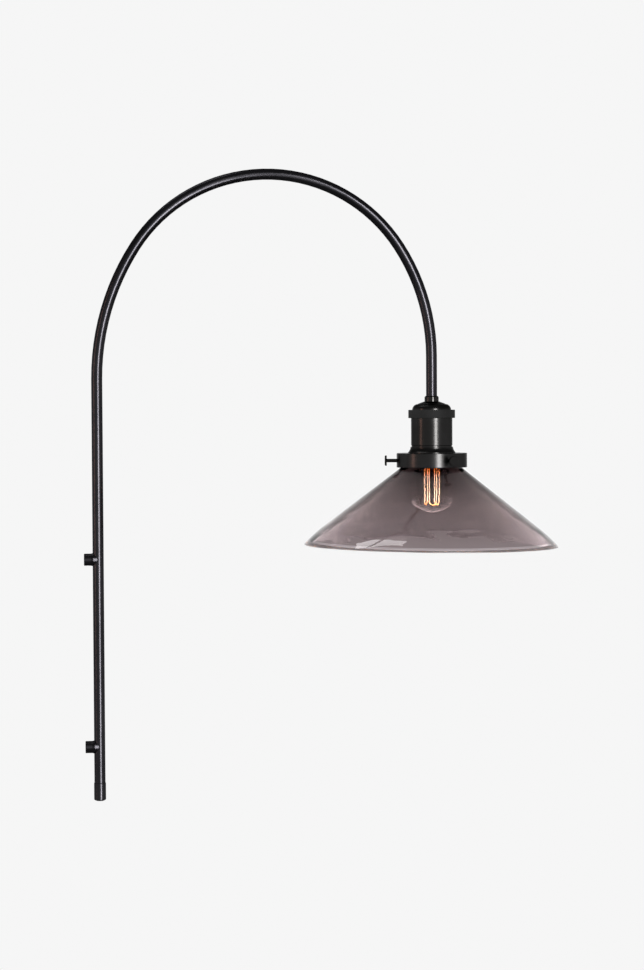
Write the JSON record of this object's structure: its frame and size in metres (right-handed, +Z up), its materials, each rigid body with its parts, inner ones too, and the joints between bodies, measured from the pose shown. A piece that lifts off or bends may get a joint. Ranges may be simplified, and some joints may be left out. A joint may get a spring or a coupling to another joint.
{
  "type": "hanging pendant wall sconce",
  "caption": "Wall light with a tall bent-tube arm that hangs a metal lampholder and a wide bowed smoke-glass shade over a small globe bulb.",
  "frame": {"origin": "centre of the upper wall boss's bore at its mouth, on the wall plane", "axes": "+X out from the wall to the lamp, +Z up along the arm's leg, +Y level along the wall; the bent arm lies in the XZ plane"},
  "size_m": [0.4672, 0.25, 0.6154],
  "materials": {
    "black_metal": "satin",
    "zinc_steel": "satin",
    "brass": "polished",
    "black_plastic": "matte",
    "flex_jacket": "matte",
    "live_jacket": "gloss",
    "neutral_jacket": "gloss",
    "earth_jacket": "gloss",
    "porcelain": "glazed",
    "smoke_glass": "polished",
    "clear_glass": "polished",
    "nickel_cap": "polished",
    "solder": "satin",
    "filament_wire": "matte",
    "hook_wire": "satin"
  },
  "bodies": {
    "root": {"arm_tube": "black_metal", "centre_contact": "brass", "collar_ring": "black_metal", "cord_bush": "black_plastic", "earth_core": "earth_jacket", "earth_screw": "zinc_steel", "earth_tag_washer": "brass", "end_ferrule": "black_metal", "gallery_retaining_ring": "black_metal", "glass_shade": "smoke_glass", "holder_body": "black_metal", "holder_cap": "black_metal", "internal_flex": "flex_jacket", "live_core": "live_jacket", "lower_wall_boss": "black_metal", "neck_collar": "black_metal", "neck_grub_screw": "zinc_steel", "neutral_core": "neutral_jacket", "porcelain_insert": "porcelain", "screw_shell": "brass", "shade_gallery": "black_metal", "side_contact": "brass", "terminal_screws": "zinc_steel", "tube_lock_nut": "zinc_steel", "upper_wall_boss": "black_metal"},
    "bulb": {"bulb_cap": "nickel_cap", "bulb_insulator": "black_plastic", "bulb_end_contact": "solder", "bulb_glass": "clear_glass", "bulb_stem": "clear_glass", "bulb_filament": "filament_wire", "filament_hooks": "hook_wire", "bulb_lead_wires": "hook_wire"},
    "thumbscrew_rear": {"thumbscrew_rear": "black_metal"},
    "thumbscrew_left": {"thumbscrew_left": "black_metal"},
    "thumbscrew_front": {"thumbscrew_front": "black_metal"},
    "upper_boss_grub_screw": {"upper_boss_grub_screw": "zinc_steel"},
    "lower_boss_grub_screw": {"lower_boss_grub_screw": "zinc_steel"}
  },
  "joints": [
    {"name": "bulb_draw", "type": "slide", "parent": "root", "child": "bulb", "axis": [0, 0, -1], "range_m": [0, 0.115]},
    {"name": "thumbscrew_rear_travel", "type": "slide", "parent": "root", "child": "thumbscrew_rear", "axis": [0.6494, 0.7604, 0], "range_m": [0, 0.0032]},
    {"name": "thumbscrew_left_travel", "type": "slide", "parent": "root", "child": "thumbscrew_left", "axis": [-0.9833, 0.1822, 0], "range_m": [0, 0.0032]},
    {"name": "thumbscrew_front_travel", "type": "slide", "parent": "root", "child": "thumbscrew_front", "axis": [0.3338, -0.9426, 0], "range_m": [0, 0.0032]},
    {"name": "upper_grub_screw_travel", "type": "slide", "parent": "root", "child": "upper_boss_grub_screw", "axis": [0, 0, 1], "range_m": [0, 0.0012]},
    {"name": "lower_grub_screw_travel", "type": "slide", "parent": "root", "child": "lower_boss_grub_screw", "axis": [0, 0, 1], "range_m": [0, 0.0012]}
  ]
}
